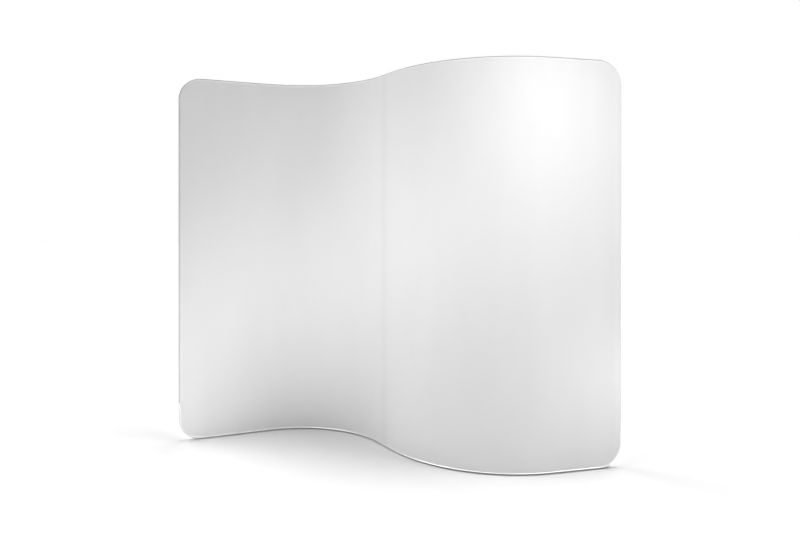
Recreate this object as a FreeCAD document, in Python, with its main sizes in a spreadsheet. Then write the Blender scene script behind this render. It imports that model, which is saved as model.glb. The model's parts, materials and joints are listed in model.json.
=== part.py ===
import FreeCAD, Part
import math
import os
import types

import Sketcher
from FreeCAD import Placement, Rotation, Vector

# Wave-shaped fabric display wall: a knock-down tube frame inside a zipped stretch cover.
# Lengths are in millimetres and angles in degrees. The wall stands on z = 0 and faces -Y.
SIZES = {
    # plan of the wave, along the tube axis from the centre post to each end post
    "wall_height": 2300,
    "half_length": 1483,
    "left_bend_angle": 78,
    "left_rail_tail": 330,
    "right_bend_angle": 70,
    "right_rail_tail": 215,
    # octagonal frame tubes, measured across their flats
    "tube_across": 32,
    "tube_wall": 1.5,
    "corner_radius": 118,
    "corner_leg": 85,
    "tee_half": 30,
    "tee_rise": 34,
    "tee_core": 20,
    "tee_step": 0.5,
    # spigots that join the tubes
    "spigot_reach": 45,
    "spigot_wall": 2,
    "spigot_clearance": 0.1,
    "spigot_margin": 5,
    # snap buttons and their leaf springs
    "button_diameter": 8,
    "button_height": 9,
    "button_setback": 22,
    "button_proud": 2.5,
    "button_clearance": 0.25,
    "spring_width": 7,
    "spring_thickness": 0.8,
    "spring_length": 20,
    "spring_overhang": 6,
    "spring_clearance": 0.1,
    # stretch cover
    "cover_gap": 0.3,
    "cover_thickness": 0.8,
    # zip along the lower edge, one tape with its coil on each side of the slit
    "zip_end_height": 235,
    "zip_slit": 1.2,
    "tape_width": 6.4,
    "tape_gap": 0.15,
    "tape_thickness": 0.7,
    "coil_width": 2.2,
    "coil_height": 1.8,
    "stop_length": 5,
    "stop_height": 0.9,
    "end_stop_length": 9,
    "end_stop_wall": 1.2,
    "stop_clearance": 0.1,
    # zip slider and pull
    "slider_length": 16,
    "slider_width": 10,
    "slider_tail_width": 8.4,
    "slider_shoulder": 9,
    "slider_plate": 1.2,
    "slider_clearance": 0.3,
    "bridge_length": 3,
    "bridge_thickness": 0.6,
    "lug_length": 5,
    "lug_rise": 4.2,
    "lug_thickness": 1.1,
    "pin_diameter": 1.6,
    "pin_clearance": 0.1,
    "eye_diameter": 3.8,
    "eye_width": 3.6,
    "pull_thickness": 1.6,
    "pull_neck_length": 9,
    "pull_length": 32,
    "pull_width": 8,
    "pull_slot_width": 3,
    "pull_slot_length": 9,
    "pull_slot_inset": 4,
    # how far every cut runs past the wall that it opens
    "cut_overrun": 1,
}


class Size:
    """A size that keeps its number together with the text that binds it to the sheet."""

    def __init__(self, value, text):
        self.value = float(value)
        self.text = text

    @staticmethod
    def of(other):
        return other if isinstance(other, Size) else Size(other, repr(other))

    def __add__(self, other):
        other = Size.of(other)
        return Size(self.value + other.value, f"({self.text} + {other.text})")

    def __sub__(self, other):
        other = Size.of(other)
        return Size(self.value - other.value, f"({self.text} - {other.text})")

    def __mul__(self, other):
        other = Size.of(other)
        return Size(self.value * other.value, f"({self.text} * {other.text})")

    def __truediv__(self, other):
        other = Size.of(other)
        return Size(self.value / other.value, f"({self.text} / {other.text})")

    def __neg__(self):
        return Size(-self.value, f"(0 - {self.text})")

    __radd__ = __add__
    __rmul__ = __mul__


def sine(angle):
    return Size(math.sin(math.radians(angle.value)), f"sin({angle.text} * 1 deg)")


def cosine(angle):
    return Size(math.cos(math.radians(angle.value)), f"cos({angle.text} * 1 deg)")


def arc_radius(length, angle):
    return Size(length.value / math.radians(angle.value), f"({length.text} / ({angle.text} * pi / 180))")


def arc_length(radius, angle):
    return Size(radius.value * math.radians(angle.value), f"({radius.text} * {angle.text} * pi / 180)")


doc = FreeCAD.newDocument("FabricDisplayWall")
sheet = doc.addObject("Spreadsheet::Sheet", "Sizes")
for row, (name, number) in enumerate(SIZES.items(), start=1):
    sheet.set(f"A{row}", name)
    sheet.set(f"B{row}", str(number))
    sheet.setAlias(f"B{row}", name)
doc.recompute()
S = types.SimpleNamespace(**{name: Size(sheet.get(name), f"Sizes.{name}") for name in SIZES})

# Sizes that follow from the driving ones; halves of octagons are from the middle to a flat
NOUGHT = Size(0, "0")
RIGHT_ANGLE = Size(90, "90")
STRAIGHT_ANGLE = Size(180, "180")
FLAT_SHARE = Size(math.sqrt(2) - 1, "(sqrt(2) - 1)")
TUBE_HALF = S.tube_across / 2
BORE_HALF = TUBE_HALF - S.tube_wall
SPIGOT_HALF = BORE_HALF - S.spigot_clearance
SPIGOT_BORE_HALF = SPIGOT_HALF - S.spigot_wall
HOLE_DIAMETER = S.button_diameter + 2 * S.button_clearance
COVER_INNER = TUBE_HALF + S.cover_gap
COVER_OUTER = COVER_INNER + S.cover_thickness
TAPE_INNER = COVER_OUTER + S.tape_gap
TAPE_OUTER = TAPE_INNER + S.tape_thickness
TAPE_EDGE = S.zip_slit / 2 + S.tape_width
COIL_TOP = TAPE_OUTER + S.coil_height
COIL_SIDE = S.zip_slit / 2 + S.coil_width
HEM = S.slider_width / 2 + S.slider_clearance
BOTTOM_AXIS = COIL_TOP
TOP_AXIS = S.wall_height - COVER_OUTER
MIDDLE = (BOTTOM_AXIS + TOP_AXIS) / 2
FIELD_END = S.half_length - S.corner_radius
RAIL_END = FIELD_END - S.corner_leg
CENTRE_LEAD = S.tee_half + S.spigot_reach + S.spigot_margin
TAILS = {"left": S.left_rail_tail, "right": S.right_rail_tail}
ANGLES = {"left": S.left_bend_angle, "right": S.right_bend_angle}
BENDS = {}
for half, angle in ANGLES.items():
    BENDS[half] = (arc_radius(RAIL_END - CENTRE_LEAD - TAILS[half], angle), angle)
LEVELS = {"bottom": (BOTTOM_AXIS, 1), "top": (TOP_AXIS, -1)}
UP = Vector(0, 0, 1)
ALONG = Vector(1, 0, 0)
ACROSS = Vector(0, 1, 0)
HALF_TURN = Rotation(UP, STRAIGHT_ANGLE.value)


def frame_at(half, along):
    """The frame on the wave's plan at a distance from the centre: X outward along it, Z up."""
    radius, angle = (size.value for size in BENDS[half])
    lead = CENTRE_LEAD.value
    turned = math.degrees(max(along - lead, 0) / radius)
    turned = min(turned, angle)
    heading = math.radians(turned)
    tail = max(along - lead - radius * math.radians(angle), 0)
    x = min(along, lead) + radius * math.sin(heading) + tail * math.cos(heading)
    y = radius * (1 - math.cos(heading)) + tail * math.sin(heading)
    local = Placement(Vector(x, y, 0), Rotation(UP, turned))
    turn = HALF_TURN if half == "left" else Rotation()
    return Placement(Vector(0, 0, 0), turn) * local


def raised(frame, height):
    return Placement(UP * height, Rotation()) * frame


# The wall's own frame: end posts on one line along X
RIGHT_FOOT = frame_at("right", S.half_length.value).Base
LEFT_FOOT = frame_at("left", S.half_length.value).Base
CHORD = RIGHT_FOOT - LEFT_FOOT
WALL_TURN = Rotation(UP, -math.degrees(math.atan2(CHORD.y, CHORD.x)))

sub_parts = []


def keep(item, label, frame):
    """Name a finished sub-part and put it in its place on the wall."""
    item.Label = label
    item.Placement = Placement(Vector(0, 0, 0), WALL_TURN) * frame
    sub_parts.append(item)
    return item


def new_body(name):
    return doc.addObject("PartDesign::Body", name)


def sketch_on(body, role, lift=None):
    """A sketch on one of the body's own origin planes, lifted off it if asked."""
    sketch = body.newObject("Sketcher::SketchObject", f"{body.Name}_sketch")
    plane = next(item for item in body.Origin.OriginFeatures if item.Role == role)
    sketch.AttachmentSupport = [(plane, "")]
    sketch.MapMode = "FlatFace"
    if lift is not None:
        sketch.setExpression("AttachmentOffset.Base.z", lift.text)
    return sketch


def fix(sketch, kind, *where, size):
    index = sketch.addConstraint(Sketcher.Constraint(kind, *where, size.value))
    sketch.setExpression(f"Constraints[{index}]", size.text)


def fix_point(sketch, geometry, end, x, y):
    """Tie a point of the sketch to its two distances from the sketch's origin."""
    for kind, size, axis in (("DistanceX", x, -2), ("DistanceY", y, -1)):
        if size.value:
            fix(sketch, kind, -1, 1, geometry, end, size=size)
        else:
            sketch.addConstraint(Sketcher.Constraint("PointOnObject", geometry, end, axis))


def draw_circle(sketch, diameter, x=NOUGHT, y=NOUGHT):
    centre = Vector(x.value, y.value, 0)
    circle = sketch.addGeometry(Part.Circle(centre, UP, diameter.value / 2))
    fix_point(sketch, circle, 3, x, y)
    fix(sketch, "Diameter", circle, size=diameter)


def draw_polygon(sketch, points):
    """A closed outline through points given as pairs of sizes."""
    corners = [Vector(x.value, y.value, 0) for x, y in points]
    lines = []
    for start, end in zip(corners, corners[1:] + corners[:1]):
        lines.append(sketch.addGeometry(Part.LineSegment(start, end)))
    for line, after in zip(lines, lines[1:] + lines[:1]):
        sketch.addConstraint(Sketcher.Constraint("Coincident", line, 2, after, 1))
    for line, (x, y) in zip(lines, points):
        fix_point(sketch, line, 1, x, y)


def draw_rectangle(sketch, low, high):
    draw_polygon(sketch, [(low[0], low[1]), (high[0], low[1]), (high[0], high[1]), (low[0], high[1])])


def pad(body, sketch, length, midplane=False):
    feature = body.newObject("PartDesign::Pad", f"{body.Name}_pad")
    feature.Profile = sketch
    feature.setExpression("Length", length.text)
    feature.Midplane = midplane
    return feature


def pocket(body, sketch, depth, midplane=False, forward=True):
    """A cut along the sketch's normal, or against it."""
    feature = body.newObject("PartDesign::Pocket", f"{body.Name}_pocket")
    feature.Profile = sketch
    feature.setExpression("Length", depth.text)
    feature.Midplane = midplane
    feature.Reversed = forward
    return feature


def draw_octagon(sketch, half):
    """A regular octagon round the sketch's origin, with flats square to its axes."""
    flat = half * FLAT_SHARE
    quarter = [(half, flat), (flat, half)]
    upper = quarter + [(-x, y) for x, y in reversed(quarter)]
    draw_polygon(sketch, upper + [(-x, -y) for x, y in upper])


WALL_CUT = TUBE_HALF + S.cut_overrun


def drill(body, plane, x, y, forward=True):
    """A button hole through one wall, from the tube's axis outward."""
    hole = sketch_on(body, plane)
    draw_circle(hole, HOLE_DIAMETER, x, y)
    pocket(body, hole, WALL_CUT, forward=forward)


def straight_tube(label, half, wall, length, frame):
    """A tube along Z from 0."""
    body = new_body(label)
    ring = sketch_on(body, "XY_Plane")
    draw_octagon(ring, half)
    draw_octagon(ring, half - wall)
    pad(body, ring, length)
    return keep(body, label, frame)


def end_sketch(body, x, y, turn):
    """A sketch square to the XY plane at a point of it, looking along a heading in it."""
    sketch = sketch_on(body, "YZ_Plane")
    sketch.AttachmentOffset = Placement(Vector(y.value, 0, x.value), Rotation(ACROSS, turn.value))
    sketch.setExpression("AttachmentOffset.Base.x", y.text)
    sketch.setExpression("AttachmentOffset.Base.z", x.text)
    sketch.setExpression("AttachmentOffset.Rotation.Angle", f"{turn.text} * 1 deg")
    return sketch


def bent_tube(label, lead, radius, angle, tail, frame):
    """A tube from the origin along +X, bent towards +Y. Its straight runs are bored from both ends."""
    body = new_body(label)
    path = sketch_on(body, "XY_Plane")
    bend_x = lead + radius * sine(angle)
    bend_y = radius - radius * cosine(angle)
    heading = Vector(cosine(angle).value, sine(angle).value, 0)
    corner = Vector(lead.value, 0, 0)
    leave = Vector(bend_x.value, bend_y.value, 0)
    bend = Part.Circle(corner + ACROSS * radius.value, UP, radius.value)
    first = path.addGeometry(Part.LineSegment(Vector(0, 0, 0), corner))
    turn = path.addGeometry(Part.ArcOfCircle(bend, -math.pi / 2, math.radians(angle.value) - math.pi / 2))
    last = path.addGeometry(Part.LineSegment(leave, leave + heading * tail.value))
    path.addConstraint(Sketcher.Constraint("Coincident", first, 1, -1, 1))
    path.addConstraint(Sketcher.Constraint("Horizontal", first))
    path.addConstraint(Sketcher.Constraint("Tangent", first, 2, turn, 1))
    path.addConstraint(Sketcher.Constraint("Tangent", turn, 2, last, 1))
    fix(path, "Distance", first, size=lead)
    fix(path, "Radius", turn, size=radius)
    fix(path, "Distance", last, size=tail)
    angled = path.addConstraint(Sketcher.Constraint("Angle", first, last, math.radians(angle.value)))
    path.setExpression(f"Constraints[{angled}]", f"{angle.text} * 1 deg")
    section = sketch_on(body, "YZ_Plane")
    draw_octagon(section, TUBE_HALF)
    pipe = body.newObject("PartDesign::AdditivePipe", f"{body.Name}_pipe")
    pipe.Profile = section
    pipe.Spine = path
    end_x = bend_x + tail * cosine(angle)
    end_y = bend_y + tail * sine(angle)
    for x, y, outward, depth in ((NOUGHT, NOUGHT, STRAIGHT_ANGLE, lead), (end_x, end_y, angle, tail)):
        bore = end_sketch(body, x, y, outward)
        draw_octagon(bore, BORE_HALF)
        pocket(body, bore, depth, forward=False)
    return keep(body, label, frame)


# Frame tubes: curved rails, end posts with a bent corner, and the centre post
POST_RUN = MIDDLE - BOTTOM_AXIS - S.corner_radius
for half, (radius, angle) in BENDS.items():
    lead = CENTRE_LEAD - S.tee_half
    tail = TAILS[half]
    far = tail - S.button_setback
    far_x = lead + radius * sine(angle) + far * cosine(angle)
    far_y = radius - radius * cosine(angle) + far * sine(angle)
    for level, (axis_height, inward) in LEVELS.items():
        start = raised(frame_at(half, S.tee_half.value), axis_height.value)
        rail = bent_tube(f"{level}_{half}_rail", lead, radius, angle, tail, start)
        for x, y in ((S.button_setback, NOUGHT), (far_x, far_y)):
            drill(rail, "XY_Plane", x, y, forward=inward > 0)
        quarter = Placement(Vector(0, 0, 0), Rotation(ALONG, RIGHT_ANGLE.value * inward))
        corner = raised(frame_at(half, RAIL_END.value), axis_height.value) * quarter
        name = f"{half}_post_{'lower' if inward > 0 else 'upper'}"
        bent_tube(name, S.corner_leg, S.corner_radius, RIGHT_ANGLE, POST_RUN, corner)
for name, height in (("lower", BOTTOM_AXIS + S.tee_rise), ("upper", MIDDLE)):
    foot = Placement(UP * height.value, Rotation())
    straight_tube(f"centre_post_{name}", TUBE_HALF, S.tube_wall, MIDDLE - BOTTOM_AXIS - S.tee_rise, foot)


def make_tee(label, frame):
    """A three-way connector: a sleeve along X, a neck along Z and a spigot out of each mouth."""
    body = new_body(label)
    arm = S.tee_half + S.spigot_reach
    stub = S.tee_rise + S.spigot_reach
    for half, length in ((TUBE_HALF, S.tee_half), (SPIGOT_HALF, arm)):
        sleeve = sketch_on(body, "YZ_Plane")
        draw_octagon(sleeve, half)
        pad(body, sleeve, 2 * length, midplane=True)
    for half, length in ((TUBE_HALF - S.tee_step, S.tee_rise), (SPIGOT_HALF, stub)):
        neck = sketch_on(body, "XY_Plane")
        draw_octagon(neck, half)
        pad(body, neck, length)
    for side in (-1, 1):
        bore = sketch_on(body, "YZ_Plane", lift=side * S.tee_core)
        draw_octagon(bore, SPIGOT_BORE_HALF)
        pocket(body, bore, arm, forward=side > 0)
        drill(body, "XY_Plane", side * (S.tee_half + S.button_setback), NOUGHT)
    return keep(body, label, frame)


make_tee("bottom_tee", Placement(UP * BOTTOM_AXIS.value, Rotation()))
make_tee("top_tee", Placement(UP * TOP_AXIS.value, Rotation(ALONG, STRAIGHT_ANGLE.value)))

# Tube joints: the mouth of the home tube, the way to the loose tube, and the way that a button looks
snap_joints = {}
push_joints = {"centre_post_middle": (UP * MIDDLE.value, UP, ALONG)}
for half in BENDS:
    end = raised(frame_at(half, S.half_length.value), MIDDLE.value)
    push_joints[f"{half}_post_middle"] = (end.Base, UP, end.Rotation.multVec(ALONG))
    for level, (axis_height, inward) in LEVELS.items():
        for place, along, way in (("tee", S.tee_half, ALONG), ("rail", RAIL_END, -ALONG)):
            mouth = raised(frame_at(half, along.value), axis_height.value)
            snap_joints[f"{level}_{half}_{place}"] = (mouth.Base, mouth.Rotation.multVec(way), UP * inward)


def facing(origin, axis, press):
    """A frame at a point with Z along axis and X along press."""
    return Placement(origin, Rotation(press, axis.cross(press), axis, "ZXY"))


for name, (mouth, axis, look) in {**snap_joints, **push_joints}.items():
    if name.endswith("tee"):
        continue
    start = facing(mouth - axis * S.spigot_reach.value, axis, look)
    spigot = straight_tube(f"{name}_spigot", SPIGOT_HALF, S.spigot_wall, 2 * S.spigot_reach, start)
    if name in snap_joints:
        drill(spigot, "YZ_Plane", NOUGHT, S.spigot_reach + S.button_setback)

BUTTON_FOOT = TUBE_HALF + S.button_proud - S.button_height


def make_button(label, frame):
    """A round button that looks along +Z and is pressed along -Z."""
    body = new_body(label)
    disc = sketch_on(body, "XY_Plane", lift=BUTTON_FOOT)
    draw_circle(disc, S.button_diameter)
    pad(body, disc, S.button_height)
    return keep(body, label, frame)


def make_spring():
    """One leaf spring folded to a V, in the frame of its button."""
    body = new_body("spring_pattern")
    floor = SPIGOT_BORE_HALF - S.spring_clearance
    outline = sketch_on(body, "XZ_Plane")
    draw_polygon(
        outline,
        [
            (-S.spring_length, NOUGHT),
            (S.spring_overhang, BUTTON_FOOT),
            (S.spring_overhang, BUTTON_FOOT - S.spring_thickness),
            (2 * S.spring_thickness - S.spring_length, NOUGHT),
            (S.spring_overhang, S.spring_thickness - floor),
            (S.spring_overhang, -floor),
        ],
    )
    pad(body, outline, S.spring_width, midplane=True)
    return body


button_frames = {}
for name, (mouth, axis, look) in snap_joints.items():
    place = mouth + axis * S.button_setback.value
    button_frames[name] = Placement(place, Rotation(axis, look.cross(axis), look, "ZXY"))
    make_button(f"{name}_button", button_frames[name])
spring = make_spring()
doc.recompute()


def keep_shape(label, shape):
    feature = doc.addObject("Part::Feature", label)
    feature.Shape = shape
    return keep(feature, label, Placement())


leaves = [spring.Shape.transformed(frame.toMatrix()) for frame in button_frames.values()]
keep_shape("snap_springs", Part.makeCompound(leaves))


# Stretch cover: each panel follows the tubes, from the seam on top and at the ends to the zip below
def plan_path(half):
    """The wave's plan at the height of the lower tube, from the centre to where the corner starts."""
    height = BOTTOM_AXIS.value
    lead = CENTRE_LEAD.value
    bend_end = lead + arc_length(*BENDS[half]).value
    stops = [0, lead, (lead + bend_end) / 2, bend_end, FIELD_END.value]
    start, bend, crest, leave, end = (raised(frame_at(half, stop), height).Base for stop in stops)
    return [
        Part.LineSegment(start, bend).toShape(),
        Part.Arc(bend, crest, leave).toShape(),
        Part.LineSegment(leave, end).toShape(),
    ]


def zip_path(half):
    """The plan path, carried on round the lower corner and up the end post to the end of the zip."""
    foot = raised(frame_at(half, FIELD_END.value), BOTTOM_AXIS.value + S.corner_radius.value)
    radius = S.corner_radius.value
    slant = math.radians(RIGHT_ANGLE.value / 2)
    low, crest, high, end = (
        foot.multVec(Vector(x, 0, z))
        for x, z in (
            (0, -radius),
            (radius * math.sin(slant), -radius * math.cos(slant)),
            (radius, 0),
            (radius, S.zip_end_height.value - foot.Base.z),
        )
    )
    return plan_path(half) + [Part.Arc(low, crest, high).toShape(), Part.LineSegment(high, end).toShape()]


def swept(path, corners):
    return Part.Wire(path).makePipeShell([Part.makePolygon(corners + corners[:1])], True, False)


def shoulder(half):
    """The two corners of an octagon's quarter, from the flat on the first axis to the one on the second."""
    flat = half.value * FLAT_SHARE.value
    return [(half.value, flat), (flat, half.value)]


def end_face(half, side, hem):
    """A panel's section round an end post, seen from above: a strip to the post and a turn about it."""
    frame = frame_at(half, FIELD_END.value)
    reach = S.corner_radius.value
    layers = []
    for layer in (COVER_OUTER, COVER_INNER):
        turn = [(reach + x, y) for x, y in reversed(shoulder(layer))]
        layers.append([(0, layer.value)] + turn + [(reach + layer.value, hem)])
    outline = layers[0] + layers[1][::-1]
    corners = [frame.multVec(Vector(x, side * y, 0)) for x, y in outline]
    return Part.Face(Part.makePolygon(corners + corners[:1]))


def panel_half(half, side):
    """Half a panel. Side is +1 on the inside of the bend and -1 on the outside."""
    low, high = BOTTOM_AXIS.value, TOP_AXIS.value
    hem = HEM.value
    layers = []
    for layer in (COVER_OUTER, COVER_INNER):
        top = [(0, high + layer.value)] + [(y, high + z) for y, z in reversed(shoulder(layer))]
        foot = [(y, low - z) for y, z in shoulder(layer)] + [(hem, low - layer.value)]
        layers.append(top + foot)
    outline = layers[0] + layers[1][::-1]
    turn = frame_at(half, 0)
    pieces = [swept(plan_path(half), [turn.multVec(Vector(0, side * y, z)) for y, z in outline])]
    frame = frame_at(half, FIELD_END.value)
    hinge = frame.Rotation.multVec(ACROSS)
    hemmed = end_face(half, side, hem)
    whole = end_face(half, side, 0)
    foot, top = low + S.corner_radius.value, high - S.corner_radius.value
    zip_end = S.zip_end_height.value
    for face, start, end in ((hemmed, foot, zip_end), (whole, zip_end, top)):
        pieces.append(face.translated(UP * start).extrude(UP * (end - start)))
    for face, height, turned in ((hemmed, foot, RIGHT_ANGLE), (whole, top, -RIGHT_ANGLE)):
        centre = frame.Base + UP * height
        pieces.append(face.translated(UP * height).revolve(centre, hinge, turned.value))
    return pieces


# One zip half in section, as distances from the slit's middle and from the tube's axis
ZIP_SECTION = [
    (S.zip_slit / 2, TAPE_INNER),
    (TAPE_EDGE, TAPE_INNER),
    (TAPE_EDGE, TAPE_OUTER),
    (COIL_SIDE, TAPE_OUTER),
    (COIL_SIDE, COIL_TOP),
    (S.zip_slit / 2, COIL_TOP),
]
FACES = {"front": {"right": -1, "left": 1}, "back": {"right": 1, "left": -1}}
for face, sides in FACES.items():
    panel = [piece for half, side in sides.items() for piece in panel_half(half, side)]
    keep_shape(f"{face}_panel", panel[0].fuse(panel[1:]).removeSplitter())
    zip_halves = []
    for half, side in sides.items():
        turn = raised(frame_at(half, 0), BOTTOM_AXIS.value)
        corners = [turn.multVec(Vector(0, side * y.value, -z.value)) for y, z in ZIP_SECTION]
        zip_halves.append(swept(zip_path(half), corners))
    keep_shape(f"{face}_zip_tape", zip_halves[0].fuse(zip_halves[1:]).removeSplitter())


# Zip slider, pull and stops, in the frame of an end post: X outward from the post, Y across, Z up
UNDER_PLATE = TUBE_HALF + S.slider_clearance
UNDER_PLATE_TOP = TAPE_INNER - S.slider_clearance
PLATE = COIL_TOP + S.slider_clearance
PLATE_TOP = PLATE + S.slider_plate
LUG_GAP = S.eye_width + 2 * S.slider_clearance
LUG_WIDTH = LUG_GAP + 2 * S.lug_thickness
PIN_REACH = PLATE_TOP + S.slider_clearance + S.eye_diameter / 2
PIN_HOLE = S.pin_diameter + 2 * S.pin_clearance
SLIDER_FOOT = S.zip_end_height - S.stop_length - S.slider_clearance - S.slider_length
left_end = frame_at("left", S.half_length.value)
right_end = frame_at("right", S.half_length.value)
slider_frame = raised(left_end, SLIDER_FOOT.value)


def make_slider():
    """Two plates joined by a bridge in the slit, with side walls beside the coils and lugs for the pull."""
    body = new_body("zip_slider")
    tail = S.slider_tail_width / 2
    wide = S.slider_width / 2
    under = sketch_on(body, "XZ_Plane")
    draw_rectangle(under, (UNDER_PLATE, NOUGHT), (UNDER_PLATE_TOP, S.slider_length))
    pad(body, under, S.slider_tail_width, midplane=True)
    bridge = sketch_on(body, "XZ_Plane")
    draw_rectangle(bridge, (UNDER_PLATE, S.slider_length - S.bridge_length), (PLATE_TOP, S.slider_length))
    pad(body, bridge, S.bridge_thickness, midplane=True)
    plate = sketch_on(body, "YZ_Plane", lift=PLATE)
    shoulder = S.slider_shoulder
    right_side = [(tail, NOUGHT), (wide, shoulder), (wide, S.slider_length)]
    left_side = [(-y, z) for y, z in reversed(right_side)]
    draw_polygon(plate, right_side + left_side)
    pad(body, plate, S.slider_plate)
    walls = sketch_on(body, "YZ_Plane", lift=TAPE_OUTER + S.slider_clearance)
    inside = COIL_SIDE + S.slider_clearance
    draw_rectangle(walls, (inside, NOUGHT), (tail, S.slider_length))
    draw_rectangle(walls, (-tail, NOUGHT), (-inside, S.slider_length))
    pad(body, walls, S.coil_height)
    middle = S.slider_length / 2
    low, high = middle - S.lug_length / 2, middle + S.lug_length / 2
    lugs = sketch_on(body, "XZ_Plane")
    draw_rectangle(lugs, (PLATE_TOP, low), (PLATE_TOP + S.lug_rise, high))
    pad(body, lugs, LUG_WIDTH, midplane=True)
    gap = sketch_on(body, "XZ_Plane")
    top = PLATE_TOP + S.lug_rise + S.cut_overrun
    draw_rectangle(gap, (PLATE_TOP, low - S.cut_overrun), (top, high + S.cut_overrun))
    pocket(body, gap, LUG_GAP, midplane=True)
    hole = sketch_on(body, "XZ_Plane")
    draw_circle(hole, PIN_HOLE, PIN_REACH, middle)
    pocket(body, hole, LUG_WIDTH + S.cut_overrun, midplane=True)
    return keep(body, "zip_slider", slider_frame)


def make_pull():
    """A tab that hangs from an eye on the pin, with a slot near its end."""
    body = new_body("zip_pull")
    neck = S.eye_width / 2
    wide = S.pull_width / 2
    eye = sketch_on(body, "XZ_Plane")
    draw_circle(eye, S.eye_diameter)
    pad(body, eye, S.eye_width, midplane=True)
    tab = sketch_on(body, "YZ_Plane")
    shoulder = S.pull_neck_length + wide - neck
    right_side = [(neck, NOUGHT), (neck, -S.pull_neck_length), (wide, -shoulder), (wide, -S.pull_length)]
    left_side = [(-y, z) for y, z in reversed(right_side)]
    draw_polygon(tab, right_side + left_side)
    pad(body, tab, S.pull_thickness, midplane=True)
    slot = sketch_on(body, "YZ_Plane")
    foot = S.pull_slot_inset - S.pull_length
    half_slot = S.pull_slot_width / 2
    draw_rectangle(slot, (-half_slot, foot), (half_slot, foot + S.pull_slot_length))
    pocket(body, slot, S.pull_thickness + S.cut_overrun, midplane=True)
    hole = sketch_on(body, "XZ_Plane")
    draw_circle(hole, PIN_HOLE)
    pocket(body, hole, S.eye_width + S.cut_overrun, midplane=True)
    return keep(body, "zip_pull", pull_frame)


pin_place = Placement(Vector(PIN_REACH.value, 0, S.slider_length.value / 2), Rotation())
pull_frame = slider_frame * pin_place
make_slider()
make_pull()

pin = doc.addObject("Part::Cylinder", "zip_pull_pin")
pin.setExpression("Radius", (S.pin_diameter / 2).text)
pin.setExpression("Height", LUG_WIDTH.text)
across_pin = Placement(ACROSS * (LUG_WIDTH.value / 2), Rotation(ALONG, RIGHT_ANGLE.value))
keep(pin, "zip_pull_pin", pull_frame * across_pin)


def block(name, low, high, frame):
    """A box between two corners given in sizes."""
    box = doc.addObject("Part::Box", name)
    for side, start, end in zip(("Length", "Width", "Height"), low, high):
        box.setExpression(side, (end - start).text)
    box.Placement = frame * Placement(Vector(*(size.value for size in low)), Rotation())
    return box


stops = []
stop_foot = S.zip_end_height - S.stop_length
for start in (S.zip_slit / 2, -COIL_SIDE):
    low = (COIL_TOP, start, stop_foot)
    high = (COIL_TOP + S.stop_height, start + S.coil_width, S.zip_end_height)
    stops.append(block("coil_stop", low, high, left_end))
inside = COIL_SIDE + S.stop_clearance
outside = inside + S.end_stop_wall
foot = S.zip_end_height - S.end_stop_length
roof = COIL_TOP + S.stop_clearance
shell_high = (roof + S.end_stop_wall, outside, S.zip_end_height)
shell = block("end_stop_shell", (TAPE_OUTER, -outside, foot), shell_high, right_end)
channel_low = (TAPE_OUTER - S.cut_overrun, -inside, foot - S.cut_overrun)
channel = block("end_stop_channel", channel_low, (roof, inside, S.zip_end_height + S.cut_overrun), right_end)
end_stop = doc.addObject("Part::Cut", "end_stop")
end_stop.Base = shell
end_stop.Tool = channel
stops.append(end_stop)
zip_stops = doc.addObject("Part::Compound", "zip_stops")
zip_stops.Links = stops
keep(zip_stops, "zip_stops", Placement())

# Put the middle of the wall's footprint on the origin
doc.recompute()
footprint = Part.makeCompound([item.Shape for item in sub_parts]).optimalBoundingBox(False, False)
offset = Vector(footprint.Center.x, footprint.Center.y, 0)
for item in sub_parts:
    item.Placement = Placement(-offset, Rotation()) * item.Placement
doc.recompute()

for item in doc.Objects:
    if "Invalid" in item.State or "Error" in item.State:
        raise RuntimeError(f"{item.Label} failed: {item.State}")
for item in sub_parts:
    if item.Shape.isNull() or not item.Shape.isValid():
        raise RuntimeError(f"{item.Label} has no valid shape")
os.makedirs("parts", exist_ok=True)
for item in sub_parts:
    item.Shape.exportStep(f"parts/{item.Label}.step")
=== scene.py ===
import json
import math

import bpy
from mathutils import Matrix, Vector


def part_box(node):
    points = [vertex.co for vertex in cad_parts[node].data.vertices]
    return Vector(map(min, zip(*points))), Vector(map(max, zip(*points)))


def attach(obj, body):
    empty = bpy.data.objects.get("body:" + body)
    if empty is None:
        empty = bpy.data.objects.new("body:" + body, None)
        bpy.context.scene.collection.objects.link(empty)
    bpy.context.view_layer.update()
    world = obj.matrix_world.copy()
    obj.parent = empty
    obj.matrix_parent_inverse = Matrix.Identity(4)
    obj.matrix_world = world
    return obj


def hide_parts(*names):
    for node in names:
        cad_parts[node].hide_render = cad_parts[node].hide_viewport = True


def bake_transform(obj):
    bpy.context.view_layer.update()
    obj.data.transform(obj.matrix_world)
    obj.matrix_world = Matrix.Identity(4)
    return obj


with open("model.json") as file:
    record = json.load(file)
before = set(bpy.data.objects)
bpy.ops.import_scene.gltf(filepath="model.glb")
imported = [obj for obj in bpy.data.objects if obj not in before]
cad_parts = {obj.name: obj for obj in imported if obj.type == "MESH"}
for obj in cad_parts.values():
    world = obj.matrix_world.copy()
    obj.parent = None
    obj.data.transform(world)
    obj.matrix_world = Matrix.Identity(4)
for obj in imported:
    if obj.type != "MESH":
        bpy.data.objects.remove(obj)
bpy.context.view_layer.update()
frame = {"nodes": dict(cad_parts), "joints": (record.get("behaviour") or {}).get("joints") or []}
nodes = frame["nodes"]

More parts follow.
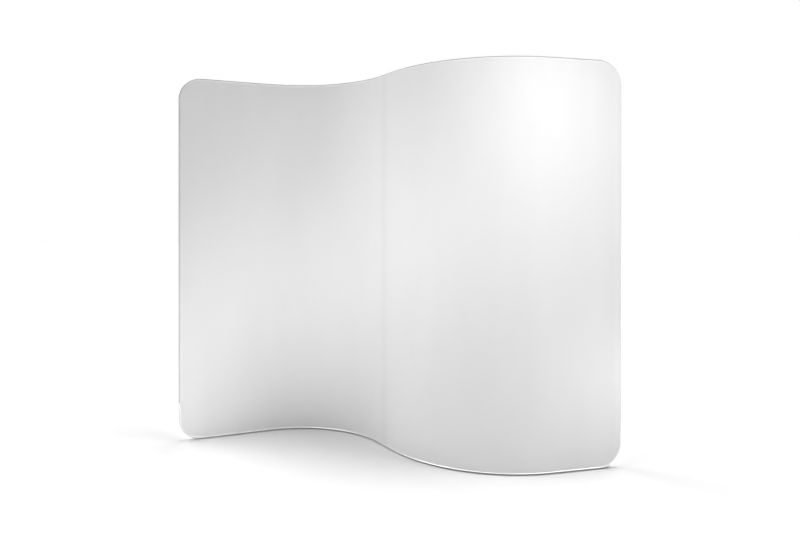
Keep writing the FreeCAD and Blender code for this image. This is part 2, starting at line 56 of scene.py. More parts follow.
# Driving sizes of the wall in metres, as in the part's source
HALF_LENGTH = 1.483
CORNER_RADIUS = 0.118
CORNER_LEG = 0.085
CENTRE_LEAD = 0.080
BOTTOM_AXIS = 0.01975
TOP_AXIS = 2.2829
BEND_ANGLE = {"left": math.radians(78), "right": math.radians(70)}
TAIL = {"left": 0.330, "right": 0.215}
BEND_RADIUS = {
    half: (HALF_LENGTH - CORNER_RADIUS - CORNER_LEG - CENTRE_LEAD - TAIL[half]) / BEND_ANGLE[half]
    for half in TAIL
}
ZIP_TOP = 0.235
CLOTH_RADIUS = 0.0175  # of the cloth about the tube's axis
HEM = 0.0053  # half the gap between the panels along the zip
LEAF = 0.0008  # thickness of the snap buttons' leaf springs

# Details of the cover and the zip as the scene draws them, in metres
SAG = 0.038
SEAM_GAP = 0.004  # between the end of the zip and the seam
SEAM_RISE = 0.0014
SEAM_HALF_DEPTH = 0.0024
SEAM_HALF_REACH = 0.0028
PIPING_RADIUS = 0.0032
PIPING_REACH = CLOTH_RADIUS + 0.0017
PIPING_TURN = math.radians(24)  # round the tube, from its front or back towards the zip
PIPING_END_TURN = math.radians(72)
PIPING_END_STEPS = 5
TAPE_SECTION = [(0.0006, 0.01725), (0.0070, 0.01725), (0.0070, 0.01795), (0.0006, 0.01795)]
TOOTH_PITCH = 0.0026
TOOTH_REACH = 0.019
TOOTH_MIDDLE = 0.0017
TOOTH_LEAN = 0.25
TOOTH_STAGES = (
    # depth from the slit's middle, reach of the middle, half height, half length along the zip
    (0.00275, 0.01835, 0.00042, 0.00050),
    (0.00205, 0.01885, 0.00070, 0.00072),
    (0.00120, 0.01895, 0.00078, 0.00080),
    (0.00064, 0.01880, 0.00055, 0.00060),
)

# Steps of the meshes, in metres where they are lengths
COLUMN_STEP = 0.026
ROW_STEP = 0.055
LOW_ROW_STEP = 0.05
ZIP_END_STEP = 0.006
RIM_STEP = 0.02
CORNER_STEPS = 12
RING_SHARES = (0.3, 0.6, 0.85, 1.0)
WRAP_STEPS = 8
BEAD_SIDES = 8
ROUNDING = 0.001  # when a height is compared with the zip's end

RIGHT_ANGLE = math.radians(90)

low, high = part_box("centre_post_lower")
CENTRE = (low + high) / 2


def local_plan(along):
    """Place and heading on the wave before it is turned, at a distance from the centre post."""
    half = "right" if along >= 0 else "left"
    way = 1 if along >= 0 else -1
    run = abs(along)
    radius = BEND_RADIUS[half]
    turned = min(max(run - CENTRE_LEAD, 0) / radius, BEND_ANGLE[half])
    tail = max(run - CENTRE_LEAD - radius * BEND_ANGLE[half], 0)
    x = min(run, CENTRE_LEAD) + radius * math.sin(turned) + tail * math.cos(turned)
    y = radius * (1 - math.cos(turned)) + tail * math.sin(turned)
    return way * x, way * y, turned


LEFT_FOOT = local_plan(-HALF_LENGTH)
RIGHT_FOOT = local_plan(HALF_LENGTH)
WALL_TURN = -math.atan2(RIGHT_FOOT[1] - LEFT_FOOT[1], RIGHT_FOOT[0] - LEFT_FOOT[0])


def place(along, height, depth):
    """A point of the wall: distance along the wave, height, and depth behind the tube's axis."""
    x, y, turned = local_plan(along)
    heading = turned + WALL_TURN
    cosine, sine = math.cos(WALL_TURN), math.sin(WALL_TURN)
    return Vector(
        (
            CENTRE.x + x * cosine - y * sine - depth * math.sin(heading),
            CENTRE.y + x * sine + y * cosine + depth * math.cos(heading),
            height,
        )
    )


def sag(along, height):
    """How far the cloth leaves the wave's own curve, pulled to the hollow side between the rails."""
    share = (height - BOTTOM_AXIS) * (TOP_AXIS - height) / ((TOP_AXIS - BOTTOM_AXIS) / 2) ** 2
    return SAG * max(share, 0) * math.sin(math.pi * max(min(along / HALF_LENGTH, 1), -1))


def spread(start, end, step):
    """Even values from start to end, about a step apart."""
    count = max(round((end - start) / step), 1)
    return [start + (end - start) * i / count for i in range(count + 1)]


def add_piece(name, points, faces, maps, material, smooth=True):
    """A mesh object on the wall. Maps holds a list of corner coordinates for each UV map."""
    mesh = bpy.data.meshes.new(name)
    mesh.from_pydata(points, [], faces)
    for label, corners in maps.items():
        layer = mesh.uv_layers.new(name=label)
        for loop, uv in zip(layer.data, corners):
            loop.uv = uv
    mesh.materials.append(material)
    if smooth:
        mesh.shade_smooth()
    mesh.update()
    piece = bpy.data.objects.new(name, mesh)
    bpy.context.scene.collection.objects.link(piece)
    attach(piece, "wall")
    return piece


class Finish:
    """A procedural material with short ways to add and join its nodes."""

    def __init__(self, name, colour, roughness, **sockets):
        self.material = bpy.data.materials.new(name)
        self.material.use_nodes = True
        self.tree = self.material.node_tree
        self.shader = self.tree.nodes["Principled BSDF"]
        self.shader.inputs["Base Color"].default_value = (*colour, 1)
        self.shader.inputs["Roughness"].default_value = roughness
        for socket, value in sockets.items():
            self.shader.inputs[socket.replace("_", " ")].default_value = value

    def join(self, source, socket):
        """Link a socket to the source, or set it where the source is a plain value."""
        if isinstance(source, bpy.types.NodeSocket):
            self.tree.links.new(source, socket)
        else:
            socket.default_value = source

    def add(self, kind, inputs=None, **settings):
        node = self.tree.nodes.new(kind)
        for key, value in settings.items():
            setattr(node, key, value)
        for key, value in (inputs or {}).items():
            self.join(value, node.inputs[key])
        return node

    def math(self, operation, first, second=0.0, third=0.0):
        return self.add("ShaderNodeMath", {0: first, 1: second, 2: third}, operation=operation).outputs[0]

    def uv(self, name):
        """The two coordinates of a UV map, in metres."""
        parts = self.add("ShaderNodeSeparateXYZ", {0: self.add("ShaderNodeUVMap", uv_map=name).outputs[0]})
        return parts.outputs[0], parts.outputs[1]

    def wave(self, coordinate, pitch):
        """A wave from 0 to 1 with the given pitch."""
        turn = self.math("MULTIPLY", coordinate, 2 * math.pi / pitch)
        return self.math("MULTIPLY_ADD", self.math("SINE", turn), 0.5, 0.5)

    def band(self, coordinate, middle, half_width, fade):
        """1 within a band about a value, fading to 0 beside it."""
        away = self.math("ABSOLUTE", self.math("SUBTRACT", coordinate, middle))
        return self.ramp(away, half_width, half_width + fade, 1.0, 0.0)

    def noise(self, scale, detail=2.0, stretch=None, roughness=0.5):
        """Noise in the wall's own coordinates, in metres, stretched along an axis if asked."""
        spot = self.add("ShaderNodeTexCoord").outputs["Object"]
        if stretch is not None:
            spot = self.add("ShaderNodeMapping", {"Vector": spot, "Scale": stretch}).outputs[0]
        inputs = {"Vector": spot, "Scale": scale, "Detail": detail, "Roughness": roughness}
        return self.add("ShaderNodeTexNoise", inputs).outputs["Fac"]

    def mix(self, share, first, second):
        """A colour between two colours."""
        node = self.add("ShaderNodeMix", data_type="RGBA")
        self.join(share, node.inputs["Factor"])
        for value, socket in ((first, node.inputs[6]), (second, node.inputs[7])):
            self.join((*value, 1) if isinstance(value, tuple) else value, socket)
        return node.outputs[2]

    def ramp(self, value, start, end, first, second):
        """From first to second as the value goes from start to end, and even beyond them."""
        node = self.add(
            "ShaderNodeMapRange",
            {"Value": value, "From Min": start, "From Max": end, "To Min": first, "To Max": second},
        )
        return node.outputs["Result"]

    def colour(self, source):
        self.join(source, self.shader.inputs["Base Color"])

    def rough(self, source):
        self.join(source, self.shader.inputs["Roughness"])

    def bump(self, height, depth, strength=1.0):
        """Relief of a given depth in metres, on top of any relief added before."""
        before = self.shader.inputs["Normal"]
        node = self.add("ShaderNodeBump", {"Height": height, "Distance": depth, "Strength": strength})
        if before.is_linked:
            self.tree.links.new(before.links[0].from_socket, node.inputs["Normal"])
        self.tree.links.new(node.outputs[0], before)


WHITE = (0.90, 0.90, 0.905)

# Fine structure of the cloth and its stitches, in metres
COURSE_PITCH = 0.0011
WALE_PITCH = 0.0009
WALE_SLANT = 0.0003
HEM_STITCH_ROWS = (0.0085, 0.0125)
HEM_STITCH_LENGTH = 0.0036
TAPE_STITCH_ROWS = (0.0012,)
TAPE_STITCH_LENGTH = 0.0030
STITCH_HALF_WIDTH = 0.00022
STITCH_FADE = 0.00025
THREAD_SHARE = 0.72  # of a stitch's length
POST_SHADE_MIDDLE = -0.018  # of the painted shade beside the centre post, on its shadow side
POST_SHADE_HALF_WIDTH = 0.020
POST_SHADE_FADE = 0.020
POST_SHADE_SHARE = 0.6
TOP_SEAM_SHADE = (0.010, 0.018)  # where the painted shade along the seam starts and stops fading
TOP_SEAM_SHADE_DROP = 0.12
PUCKER_PITCH = 0.016
PUCKER_WANDER = 0.03
PUCKER_RISE = 0.03
PUCKERS = (0.012, 0.045)  # where the puckers start and stop fading
TWILL_PITCH = 0.0007
TWILL_ZIGZAG = 0.0012
TURN_SLANT = 0.6


def stitch_rows(finish, rows, length):
    """Rows of stitches beside an edge, as a mask from the edge map: run along it and distance from it."""
    run, away = finish.uv("edge")
    thread = finish.math("LESS_THAN", finish.math("FRACT", finish.math("DIVIDE", run, length)), THREAD_SHARE)
    mask = None
    for row in rows:
        line = finish.math("MULTIPLY", finish.band(away, row, STITCH_HALF_WIDTH, STITCH_FADE), thread)
        mask = line if mask is None else finish.math("MAXIMUM", mask, line)
    return mask


def make_cover_finish():
    """Matt white stretch knit with wales, courses and twin stitching.

    Painted shade greys a band along the seam near the top and darkens a band beside the centre post, and the
    cloth puckers beside the zip."""
    sheen = {"Sheen_Weight": 0.12, "Sheen_Roughness": 0.5}
    finish = Finish("cover_knit", WHITE, 0.82, Specular_IOR_Level=0.25, **sheen)
    along, height = finish.uv("weave")
    course = finish.wave(height, COURSE_PITCH)
    slant = finish.math("MULTIPLY_ADD", course, WALE_SLANT, along)
    looped = finish.math("MULTIPLY_ADD", course, 0.5, 0.5)
    knit = finish.math("MULTIPLY", finish.wave(slant, WALE_PITCH), looped)
    stitches = stitch_rows(finish, HEM_STITCH_ROWS, HEM_STITCH_LENGTH)
    pull = finish.noise(7.0, 3.0, stretch=(1.0, 1.0, 0.25))
    pulled = finish.ramp(pull, 0.3, 0.7, 0.0, 1.0)
    cloth = finish.mix(pulled, (0.893, 0.893, 0.898), (0.908, 0.908, 0.912))
    # Painted shade: the cloth is darkened in a band beside the centre post, deeper on its left.
    post = finish.band(along, POST_SHADE_MIDDLE, POST_SHADE_HALF_WIDTH, POST_SHADE_FADE)
    cloth = finish.mix(finish.math("MULTIPLY", post, POST_SHADE_SHARE), cloth, (0.855, 0.855, 0.86))
    run, away = finish.uv("edge")
    # Painted shade: a grey band along the seam near the top, where the turned edge falls in shade.
    top_seam_shade = finish.ramp(away, *TOP_SEAM_SHADE, 1.0, 0.0)
    by_top = finish.ramp(height, TOP_AXIS - TOP_SEAM_SHADE_DROP, TOP_AXIS, 0.0, 1.0)
    top_seam_shade_mask = finish.math("MULTIPLY", top_seam_shade, by_top)
    cloth = finish.mix(top_seam_shade_mask, cloth, (0.74, 0.74, 0.745))
    finish.colour(finish.mix(stitches, cloth, (0.84, 0.84, 0.845)))
    finish.rough(finish.ramp(knit, 0.0, 1.0, 0.9, 0.76))
    finish.bump(knit, 0.00006, 0.5)
    finish.bump(stitches, 0.0004)
    gather = finish.wave(finish.math("MULTIPLY_ADD", pull, PUCKER_WANDER, run), PUCKER_PITCH)
    by_zip = finish.ramp(height, ZIP_TOP, ZIP_TOP + PUCKER_RISE, 1.0, 0.0)
    by_edge = finish.ramp(away, *PUCKERS, 1.0, 0.0)
    puckers = finish.math("MULTIPLY", gather, finish.math("MULTIPLY", by_zip, by_edge))
    finish.bump(puckers, 0.0009)
    return finish.material


def make_cord_finish(name, dark, light, pitch, depth, rough, **sockets):
    """Slanted turns of thread round an edge. Rough holds the roughness between the turns and on them."""
    finish = Finish(name, light, rough[1], **sockets)
    run, round_it = finish.uv("edge")
    turns = finish.wave(finish.math("MULTIPLY_ADD", round_it, TURN_SLANT, run), pitch)
    finish.colour(finish.mix(turns, dark, light))
    finish.rough(finish.ramp(turns, 0.0, 1.0, *rough))
    finish.bump(turns, depth)
    return finish.material


def make_tape_finish():
    """White zip tape in a fine herringbone, with one row of stitches."""
    finish = Finish("zip_tape_weave", WHITE, 0.78, Sheen_Weight=0.15, Specular_IOR_Level=0.3)
    run, away = finish.uv("edge")
    zigzag = finish.math("PINGPONG", away, TWILL_ZIGZAG)
    twill = finish.wave(finish.math("ADD", run, zigzag), TWILL_PITCH)
    stitches = stitch_rows(finish, TAPE_STITCH_ROWS, TAPE_STITCH_LENGTH)
    cloth = finish.mix(twill, (0.80, 0.80, 0.805), WHITE)
    finish.colour(finish.mix(stitches, cloth, (0.93, 0.93, 0.93)))
    finish.rough(finish.ramp(twill, 0.0, 1.0, 0.88, 0.7))
    finish.bump(twill, 0.0001)
    finish.bump(stitches, 0.0003)
    return finish.material


def make_coil_finish():
    """Moulded nylon: a slightly milky white with a soft gloss."""
    finish = Finish("zip_coil_nylon", (0.87, 0.87, 0.865), 0.34, Specular_IOR_Level=0.5, Coat_Weight=0.1)
    milky = finish.noise(900.0, 2.0)
    finish.colour(finish.mix(milky, (0.82, 0.82, 0.81), (0.91, 0.91, 0.905)))
    finish.rough(finish.ramp(milky, 0.3, 0.7, 0.28, 0.42))
    finish.bump(milky, 0.00003)
    return finish.material


def make_lacquer_finish():
    """White lacquer on cast zinc, rubbed through in small spots."""
    finish = Finish("zip_lacquer", (0.86, 0.86, 0.86), 0.3, Coat_Weight=0.3, Coat_Roughness=0.15)
    rubbed = finish.ramp(finish.noise(420.0, 6.0, roughness=0.65), 0.64, 0.70, 0.0, 1.0)
    cloudy = finish.mix(finish.noise(160.0, 3.0), (0.83, 0.83, 0.83), (0.88, 0.88, 0.88))
    finish.colour(finish.mix(rubbed, cloudy, (0.52, 0.52, 0.53)))
    finish.rough(finish.ramp(rubbed, 0.0, 1.0, 0.28, 0.5))
    finish.bump(finish.math("SUBTRACT", 1.0, rubbed), 0.00006)
    finish.bump(finish.noise(700.0, 2.0), 0.00003)
    return finish.material


def make_metal_finish(name, dark, light, roughness, scale, stretch):
    """Metal with fine lines drawn along one axis and faint handling marks."""
    finish = Finish(name, light, roughness, Metallic=1.0)
    lines = finish.noise(scale, 4.0, stretch=stretch, roughness=0.7)
    marks = finish.ramp(finish.noise(35.0, 4.0), 0.55, 0.75, 0.0, 1.0)
    drawn = finish.mix(lines, dark, light)
    finish.colour(finish.mix(finish.math("MULTIPLY", marks, 0.35), drawn, dark))
    grain = finish.ramp(lines, 0.2, 0.8, roughness - 0.06, roughness + 0.08)
    finish.rough(finish.math("MULTIPLY_ADD", marks, 0.12, grain))
    finish.bump(lines, 0.00002)
    return finish.material


def make_plastic_finish():
    """Black moulded connector with a fine spark-eroded grain and rubbed patches."""
    finish = Finish("connector_grain", (0.035, 0.035, 0.038), 0.5, Specular_IOR_Level=0.45)
    spot = finish.add("ShaderNodeTexCoord").outputs["Object"]
    grain = finish.add("ShaderNodeTexVoronoi", {"Vector": spot, "Scale": 1400.0}).outputs["Distance"]
    rubbed = finish.ramp(finish.noise(60.0, 4.0), 0.5, 0.75, 0.0, 1.0)
    finish.colour(finish.mix(rubbed, (0.032, 0.032, 0.035), (0.06, 0.06, 0.064)))
    finish.rough(finish.ramp(rubbed, 0.0, 1.0, 0.55, 0.4))
    finish.bump(grain, 0.00005)
    return finish.material


cover_finish = make_cover_finish()
# Painted shade: the seam's white thread is drawn grey, standing for the shade of its bead.
seam_shade_finish = make_cord_finish(
    "seam_thread_shaded_grey",
    dark=(0.31, 0.31, 0.315),
    light=(0.47, 0.47, 0.475),
    pitch=0.0016,
    depth=0.0003,
    rough=(0.85, 0.65),
    Sheen_Weight=0.2,
    Specular_IOR_Level=0.3,
)
piping_finish = make_cord_finish(
    "piping_satin",
    dark=(0.90, 0.90, 0.905),
    light=(0.96, 0.96, 0.96),
    pitch=0.0012,
    depth=0.00005,
    rough=(0.38, 0.26),
    Metallic=0.85,
)
tape_finish = make_tape_finish()
coil_finish = make_coil_finish()
CAD_FINISHES = {
    "zip_metal": make_lacquer_finish(),
    "connector": make_plastic_finish(),
    "tube": make_metal_finish(
        "tube_anodised",
        dark=(0.66, 0.67, 0.68),
        light=(0.79, 0.80, 0.81),
        roughness=0.36,
        scale=240.0,
        stretch=(1.0, 1.0, 0.06),
    ),
    "spigot": make_metal_finish(
        "spigot_mill",
        dark=(0.55, 0.56, 0.57),
        light=(0.72, 0.73, 0.74),
        roughness=0.3,
        scale=300.0,
        stretch=(1.0, 1.0, 0.1),
    ),
    "spring_steel": make_metal_finish(
        "steel_brushed",
        dark=(0.42, 0.42, 0.44),
        light=(0.62, 0.62, 0.64),
        roughness=0.24,
        scale=500.0,
        stretch=(1.0, 0.1, 1.0),
    ),
}
for node in nodes.values():
    for slot in node.material_slots:
        if slot.material and slot.material.name in CAD_FINISHES:
            slot.material = CAD_FINISHES[slot.material.name]


def heights():
    """Heights of the sheet's rows between the corners, with one at the end of the zip."""
    foot, top = BOTTOM_AXIS + CORNER_RADIUS, TOP_AXIS - CORNER_RADIUS
    return spread(foot, ZIP_TOP, LOW_ROW_STEP) + spread(ZIP_TOP + ZIP_END_STEP, top, ROW_STEP)


COLUMNS = spread(CORNER_RADIUS - HALF_LENGTH, HALF_LENGTH - CORNER_RADIUS, COLUMN_STEP)
ROWS = heights()


def rim_stations():
    """Stations round the sheet: a corner of the inner grid and the way outward from it, as an angle."""
    last, top = len(COLUMNS) - 1, len(ROWS) - 1
    corners = [math.radians(90 * i / CORNER_STEPS) for i in range(1, CORNER_STEPS)]
    stations = [(i, 0, -RIGHT_ANGLE) for i in range(last + 1)]
    stations += [(last, 0, angle - RIGHT_ANGLE) for angle in corners]
    stations += [(last, j, 0.0) for j in range(top + 1)]
    stations += [(last, top, angle) for angle in corners]
    stations += [(i, top, RIGHT_ANGLE) for i in range(last, -1, -1)]
    stations += [(0, top, RIGHT_ANGLE + angle) for angle in corners]
    stations += [(0, j, 2 * RIGHT_ANGLE) for j in range(top, -1, -1)]
    stations += [(0, 0, 2 * RIGHT_ANGLE + angle) for angle in corners]
    return stations


def make_panel(name, side):
    """One stretched panel: a grid, rings out to the frame's line, and a turn about the tube to its edge."""
    points, flat, faces, edge = [], [], [], []

    def add(along, height, depth, flat_along, flat_height):
        points.append(place(along, height, depth))
        flat.append((flat_along, flat_height))
        return len(points) - 1

    def lay(corners):
        corners = corners[::-1] if side > 0 else corners
        faces.append([vertex for vertex, _ in corners])
        edge.extend(uv for _, uv in corners)

    grid = {}
    for i, along in enumerate(COLUMNS):
        for j, height in enumerate(ROWS):
            grid[i, j] = add(along, height, side * CLOTH_RADIUS + sag(along, height), along, height)
    for i in range(len(COLUMNS) - 1):
        for j in range(len(ROWS) - 1):
            ring = [(i, j), (i + 1, j), (i + 1, j + 1), (i, j + 1)]
            lay([(grid[spot], (0.0, 1.0)) for spot in ring])
    rims, lines = [], []
    run = 0.0
    for i, j, angle in rim_stations():
        along, height = COLUMNS[i], ROWS[j]
        out_along, out_up = math.cos(angle), math.sin(angle)
        line = (along + CORNER_RADIUS * out_along, height + CORNER_RADIUS * out_up)
        run += math.dist(lines[-1], line) if lines else 0.0
        lines.append(line)
        zipped = line[1] < ZIP_TOP + ROUNDING
        turn = math.acos(HEM / CLOTH_RADIUS) if zipped else RIGHT_ANGLE
        rim = [(grid[i, j], (run, CORNER_RADIUS + turn * CLOTH_RADIUS))]
        for share in RING_SHARES:
            reach = CORNER_RADIUS * share
            spot = (along + reach * out_along, height + reach * out_up)
            vertex = add(*spot, side * CLOTH_RADIUS + sag(*spot), *spot)
            rim.append((vertex, (run, CORNER_RADIUS - reach + turn * CLOTH_RADIUS)))
        for step in range(1, WRAP_STEPS + 1):
            angle_round = turn * step / WRAP_STEPS
            reach = CORNER_RADIUS + CLOTH_RADIUS * math.sin(angle_round)
            laid = CORNER_RADIUS + CLOTH_RADIUS * angle_round
            spot = (along + reach * out_along, height + reach * out_up)
            depth = side * CLOTH_RADIUS * math.cos(angle_round)
            vertex = add(*spot, depth, along + laid * out_along, height + laid * out_up)
            rim.append((vertex, (run, (turn - angle_round) * CLOTH_RADIUS)))
        rims.append(rim)
    whole = run + math.dist(lines[-1], lines[0])
    closing = [(vertex, (whole, away)) for vertex, (_, away) in rims[0]]
    for rim, after in zip(rims, rims[1:] + [closing]):
        for inner, outer, next_inner, next_outer in zip(rim, rim[1:], after, after[1:]):
            corners = [inner, outer, next_outer, next_inner]
            lay(corners[:3] if inner[0] == next_inner[0] else corners)
    weave = [flat[vertex] for face in faces for vertex in face]
    return add_piece(name, points, faces, {"weave": weave, "edge": edge}, cover_finish)


def rim_path(step, zipped):
    """Stations on the frame's line as (along, height, way outward), from the left end to the right one.

    The path runs below, round the zip, or from above its ends over the top."""
    side, foot, top = HALF_LENGTH - CORNER_RADIUS, BOTTOM_AXIS + CORNER_RADIUS, TOP_AXIS - CORNER_RADIUS
    turn = spread(0, RIGHT_ANGLE, step / CORNER_RADIUS)
    if zipped:
        level, way = foot, -1
        leave, arrive = spread(ZIP_TOP, foot, -step), spread(foot, ZIP_TOP, step)
    else:
        level, way = top, 1
        leave, arrive = spread(ZIP_TOP + SEAM_GAP, top, step), spread(top, ZIP_TOP + SEAM_GAP, -step)
    path = [(-side, height, 2 * RIGHT_ANGLE) for height in leave]
    path += [(-side, level, 2 * RIGHT_ANGLE - way * angle) for angle in turn[1:]]
    path += [(along, level, way * RIGHT_ANGLE) for along in spread(-side, side, step)[1:]]
    path += [(side, level, way * (RIGHT_ANGLE - angle)) for angle in turn[1:]]
    path += [(side, height, 0.0) for height in arrive[1:]]
    return path


def on_rim(station, reach, depth):
    """A point beside the frame's line: reach outward from the tube's axis and depth to the back."""
    along, height, angle = station
    reach += CORNER_RADIUS
    return place(along + reach * math.cos(angle), height + reach * math.sin(angle), depth)


def measured(path, reach):
    """The path's stations with their distance along it."""
    total = 0.0
    before = None
    for station in path:
        spot = on_rim(station, reach, 0.0)
        if before is not None:
            total += (spot - before).length
        before = spot
        yield station, total


def sweep(path, section, sections=None):
    """Points, faces and edge map of a closed section, given as (depth, reach), carried along a path.

    Where the section moves on its way, sections holds it for each station."""
    points, faces, edge = [], [], []
    count = len(section)
    sections = sections or [section] * len(path)
    lengths = [0.0]
    for first, second in zip(section, section[1:] + section[:1]):
        lengths.append(lengths[-1] + math.dist(first, second))
    runs = []
    for (station, run), here in zip(measured(path, section[0][1]), sections):
        points += [on_rim(station, reach, depth) for depth, reach in here]
        runs.append(run)
    for i in range(len(runs) - 1):
        for k in range(count):
            after = (k + 1) % count
            faces.append([i * count + k, i * count + after, (i + 1) * count + after, (i + 1) * count + k])
            near, far = lengths[k], lengths[k + 1]
            edge += [(runs[i], near), (runs[i], far), (runs[i + 1], far), (runs[i + 1], near)]
    last = (len(runs) - 1) * count
    faces += [list(range(count))[::-1], [last + k for k in range(count)]]
    edge += [(0.0, 0.0)] * (2 * count)
    return points, faces, edge, runs[-1]


def merged(parts):
    """Several meshes as one list of points, faces and edge map."""
    points, faces, edge = [], [], []
    for part_points, part_faces, part_edge in parts:
        base = len(points)
        points += part_points
        faces += [[base + vertex for vertex in face] for face in part_faces]
        edge += part_edge
    return points, faces, edge


def bead(middle, half_depth, half_reach):
    """A section like a bead about a middle given as (depth, reach)."""
    ring = [math.radians(360 / BEAD_SIDES * i) for i in range(BEAD_SIDES)]
    return [(middle[0] + half_depth * math.sin(a), middle[1] + half_reach * math.cos(a)) for a in ring]


def make_seam():
    """The overlocked seam that closes the cover over the top and down both ends."""
    section = bead((0.0, CLOTH_RADIUS + SEAM_RISE), SEAM_HALF_DEPTH, SEAM_HALF_REACH)
    points, faces, edge, _ = sweep(rim_path(RIM_STEP, zipped=False), section)
    return add_piece("cover_seam", points, faces, {"edge": edge}, seam_shade_finish)


def make_piping():
    """The satin piping on the front and the back of the hem, with its ends turned in to the zip's ends."""
    path = rim_path(RIM_STEP, zipped=True)
    runs = []
    for side in (-1, 1):
        sections = []
        for i in range(len(path)):
            ending = max(0.0, 1 - min(i, len(path) - 1 - i) / PIPING_END_STEPS)
            turn = PIPING_TURN + (PIPING_END_TURN - PIPING_TURN) * ending ** 2
            middle = side * PIPING_REACH * math.cos(turn), PIPING_REACH * math.sin(turn)
            sections.append(bead(middle, PIPING_RADIUS, PIPING_RADIUS))
        runs.append(sweep(path, sections[len(path) // 2], sections)[:3])
    points, faces, edge = merged(runs)
    return add_piece("hem_piping", points, faces, {"edge": edge}, piping_finish)


def make_tapes():
    """Both woven tapes of the zip, one on each side of its slit."""
    strips = []
    for side in (-1, 1):
        section = [(side * depth, reach) for depth, reach in TAPE_SECTION][::side]
        points, faces, edge, length = sweep(rim_path(RIM_STEP, zipped=True), section)
        strips.append((points, faces, edge))
    points, faces, edge = merged(strips)
    piece = add_piece("zip_tapes", points, faces, {"edge": edge}, tape_finish, smooth=False)
    return piece, length


def make_coils():
    """The zip's coils: one small moulded turn after another on each tape, staggered to mesh."""
    fine = rim_path(TOOTH_PITCH / 2, zipped=True)
    parts = []
    for side, first in ((-1, 1), (1, 2)):
        for i in range(first, len(fine) - 1, 2):
            points, faces = [], []
            behind, ahead = on_rim(fine[i - 1], TOOTH_REACH, 0.0), on_rim(fine[i + 1], TOOTH_REACH, 0.0)
            run_way = (ahead - behind).normalized()
            for depth, reach, half_height, half_length in TOOTH_STAGES:
                foot = on_rim(fine[i], reach - half_height, side * depth)
                head = on_rim(fine[i], reach + half_height, side * depth)
                middle = (foot + head) / 2
                slip = run_way * (TOOTH_LEAN * side * (TOOTH_MIDDLE - depth))
                points += [
                    foot + slip,
                    middle + run_way * half_length + slip,
                    head + slip,
                    middle - run_way * half_length + slip,
                ]
            for stage in range(len(TOOTH_STAGES) - 1):
                for k in range(4):
                    after = (k + 1) % 4
                    faces.append([stage * 4 + k, stage * 4 + after, stage * 4 + 4 + after, stage * 4 + 4 + k])
            end = 4 * len(TOOTH_STAGES) - 4
            faces += [[3, 2, 1, 0], [end, end + 1, end + 2, end + 3]]
            if side < 0:
                faces = [face[::-1] for face in faces]
            parts.append((points, faces, []))
    points, faces, _ = merged(parts)
    return add_piece("zip_coils", points, faces, {}, coil_finish)


def make_leaves():
    """The leaf springs, split from the CAD springs into one mesh for each button."""
    solid = nodes["snap_springs"].data
    presses = {joint["child"]: joint for joint in frame["joints"] if joint["name"].endswith("_press")}
    middles = {button: sum(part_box(button), Vector()) / 2 for button in presses}
    for button, joint in presses.items():
        found, faces = {}, []
        for face in solid.polygons:
            if min(middles, key=lambda other: (middles[other] - face.center).length) == button:
                corners = [tuple(round(c, 6) for c in solid.vertices[i].co) for i in face.vertices]
                faces.append([found.setdefault(corner, len(found)) for corner in corners])
        mesh = bpy.data.meshes.new(button.replace("_button", "_leaf"))
        mesh.from_pydata(list(found), [], faces)
        mesh.materials.append(CAD_FINISHES["spring_steel"])
        leaf = bpy.data.objects.new(mesh.name, mesh)
        bpy.context.scene.collection.objects.link(leaf)
        upward = joint["axis"][2] < 0
        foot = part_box(button)[0].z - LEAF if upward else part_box(button)[1].z + LEAF
        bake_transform(leaf)
        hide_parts("snap_springs")


front_cover = make_panel("front_cover", -1)
back_cover = make_panel("back_cover", 1)
cover_seam = make_seam()
hem_piping = make_piping()
zip_tapes, zip_length = make_tapes()
zip_coils = make_coils()
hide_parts("front_panel")
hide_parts("back_panel")
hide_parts("front_zip_tape", "back_zip_tape")
make_leaves()

# Floor, sky and lamps
FLOOR_SIZE = 60.0
FLOOR_COLOUR = (0.95, 0.95, 0.95)
SKY_STRENGTH = 0.03


def make_floor():
    """A plain pale floor that keeps the wall's shadow."""
    mesh = bpy.data.meshes.new("floor")
    half = FLOOR_SIZE / 2
    corners = [(-half, -half, 0), (half, -half, 0), (half, half, 0), (-half, half, 0)]
    mesh.from_pydata(corners, [], [(0, 1, 2, 3)])
    floor = bpy.data.objects.new("floor", mesh)
    bpy.context.scene.collection.objects.link(floor)
    finish = Finish("floor_paint", FLOOR_COLOUR, 0.9, Specular_IOR_Level=0.0)
    mesh.materials.append(finish.material)


def make_sky(strength):
    """A background that is white to the eye and a faint, even light on the scene."""
    world = bpy.data.worlds.new("studio")
    bpy.context.scene.world = world
    world.use_nodes = True
    tree = world.node_tree
    path = tree.nodes.new("ShaderNodeLightPath")
    seen = path.outputs["Is Camera Ray"]
    for other in ("Is Glossy Ray", "Is Transmission Ray"):
        either = tree.nodes.new("ShaderNodeMath")
        either.operation = "MAXIMUM"
        tree.links.new(seen, either.inputs[0])
        tree.links.new(path.outputs[other], either.inputs[1])
        seen = either.outputs[0]
    level = tree.nodes.new("ShaderNodeMapRange")
    level.inputs["To Min"].default_value = strength
    level.inputs["To Max"].default_value = 1.0
    tree.links.new(seen, level.inputs["Value"])
    sky = tree.nodes["Background"]
    sky.inputs["Color"].default_value = (1, 1, 1, 1)
    tree.links.new(level.outputs["Result"], sky.inputs["Strength"])


def add_lamp(data, spot, aim):
    """A lamp object at a spot, turned towards its aim and hidden from the camera."""
    lamp = bpy.data.objects.new(data.name, data)
    lamp.location = spot
    lamp.visible_camera = False
    lamp.rotation_mode = "QUATERNION"
    lamp.rotation_quaternion = (Vector(aim) - Vector(spot)).to_track_quat("-Z", "Y")
    bpy.context.scene.collection.objects.link(lamp)


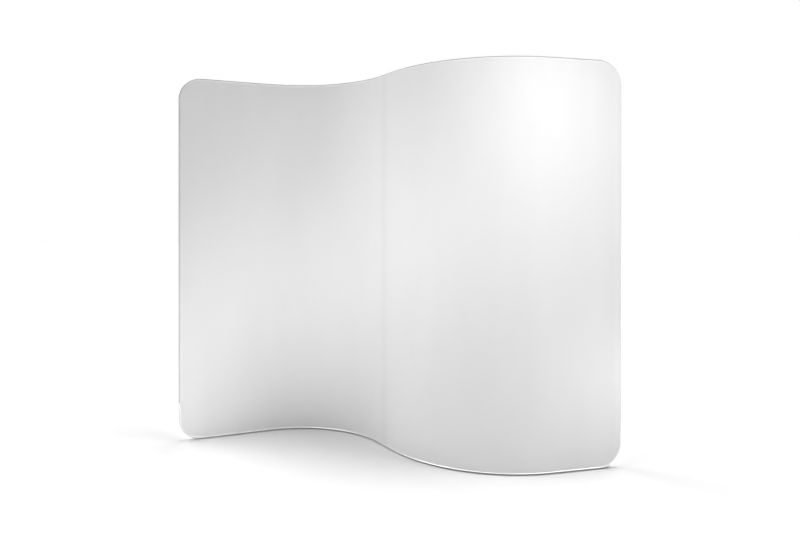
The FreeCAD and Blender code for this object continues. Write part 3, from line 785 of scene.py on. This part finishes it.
def add_sun(name, strength, spot, angle):
    """Broad light from far off, from the way of a point towards the wall; the angle is in degrees."""
    data = bpy.data.lights.new(name, "SUN")
    data.energy = strength
    data.angle = math.radians(angle)
    add_lamp(data, spot, (0, 0, 0))


def add_softbox(name, watts, spot, aim, size, beam):
    """A round lamp that lights within a beam given in degrees."""
    data = bpy.data.lights.new(name, "AREA")
    data.energy = watts
    data.shape = "DISK"
    data.size = size
    data.spread = math.radians(beam)
    add_lamp(data, spot, aim)


make_floor()
make_sky(SKY_STRENGTH)
add_sun("high_back_right", 1.42, (1.5, 1.5, 5.0), 40)
add_sun("high_left", 0.77, (-3.0, -0.5, 4.0), 40)
add_sun("high_front_left", 0.39, (-2.6, -1.5, 4.0), 40)
add_sun("high_right", 0.86, (3.0, 0.0, 4.0), 30)
add_sun("high_back_left", 0.67, (-3.0, 1.0, 4.0), 30)
add_softbox("upper_right", 1.8, (1.5, -1.7, 2.5), (0.85, -0.2, 2.0), 0.8, 70)
add_softbox("front_right", 1.8, (1.6, -2.2, 1.5), (0.9, -0.2, 1.3), 1.0, 90)
add_softbox("low_right", 2.4, (1.8, -1.9, 0.5), (1.44, 0, 0.5), 1.0, 180)
add_softbox("right_end", 0.15, (2.2, -1.0, 0.6), (1.33, -0.08, 0.5), 0.4, 40)
add_softbox("front_middle", 0.38, (-0.3, -1.8, 1.3), (0, 0.05, 1.3), 0.8, 50)
add_softbox("front_left", 0.44, (-0.5, -1.5, 0.9), (-0.85, 0.2, 0.95), 0.6, 60)
add_softbox("low_left", 2.7, (-1.2, -1.1, 0.25), (-1.2, 0, 0.3), 0.4, 180)

# Camera at the photograph's place
camera_data = bpy.data.cameras.new("camera")
camera_data.sensor_fit = "HORIZONTAL"
camera_data.sensor_width = 36.0
camera_data.lens = 28.774
camera_data.shift_y = -0.06025
camera = bpy.data.objects.new("camera", camera_data)
camera.location = (0.6825, -3.8552, 1.4106)
camera.rotation_euler = (math.radians(90), 0, math.radians(9.126))
bpy.context.scene.collection.objects.link(camera)
bpy.context.scene.camera = camera
bpy.context.scene.view_settings.view_transform = "Standard"
